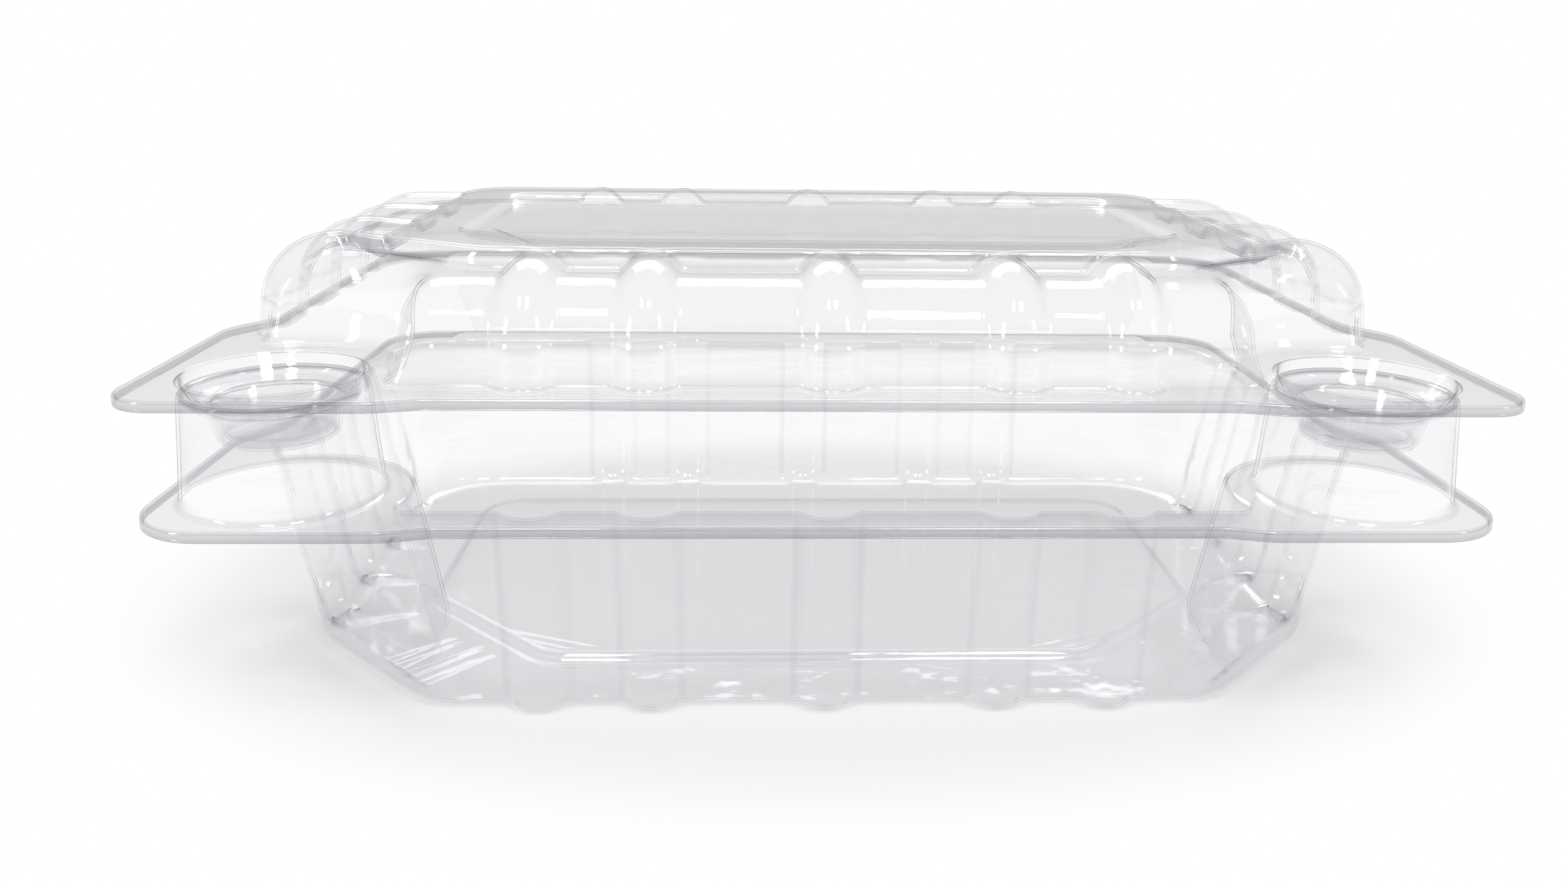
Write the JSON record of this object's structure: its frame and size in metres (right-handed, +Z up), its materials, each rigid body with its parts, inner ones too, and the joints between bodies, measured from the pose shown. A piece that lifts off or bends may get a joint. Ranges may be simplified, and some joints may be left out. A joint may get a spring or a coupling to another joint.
{
  "type": "plastic clamshell pack",
  "caption": "Clear thermoformed clamshell pack: ribbed tray and lid with wide flanges, front corner posts with press-in buttons, and a folding back hinge.",
  "frame": {"origin": "on the ground under the middle of the closed pack", "axes": "+X along the long side, +Y towards the hinge at the back, +Z up"},
  "size_m": [0.185, 0.118, 0.0642],
  "materials": {
    "clear_film": "clear, glossy"
  },
  "bodies": {
    "tray": {"tray": "clear_film"},
    "strip": {"hinge_strip": "clear_film"},
    "lid": {"lid": "clear_film"}
  },
  "joints": [
    {"name": "tray_crease", "type": "hinge", "parent": "tray", "child": "strip", "pos_m": [0, 0.0588, 0.0308], "axis": [-1, 0, 0], "range_deg": [0, 90]},
    {"name": "lid_crease", "type": "hinge", "parent": "strip", "child": "lid", "pos_m": [0, 0.0588, 0.0482], "axis": [-1, 0, 0], "range_deg": [0, 90]}
  ]
}
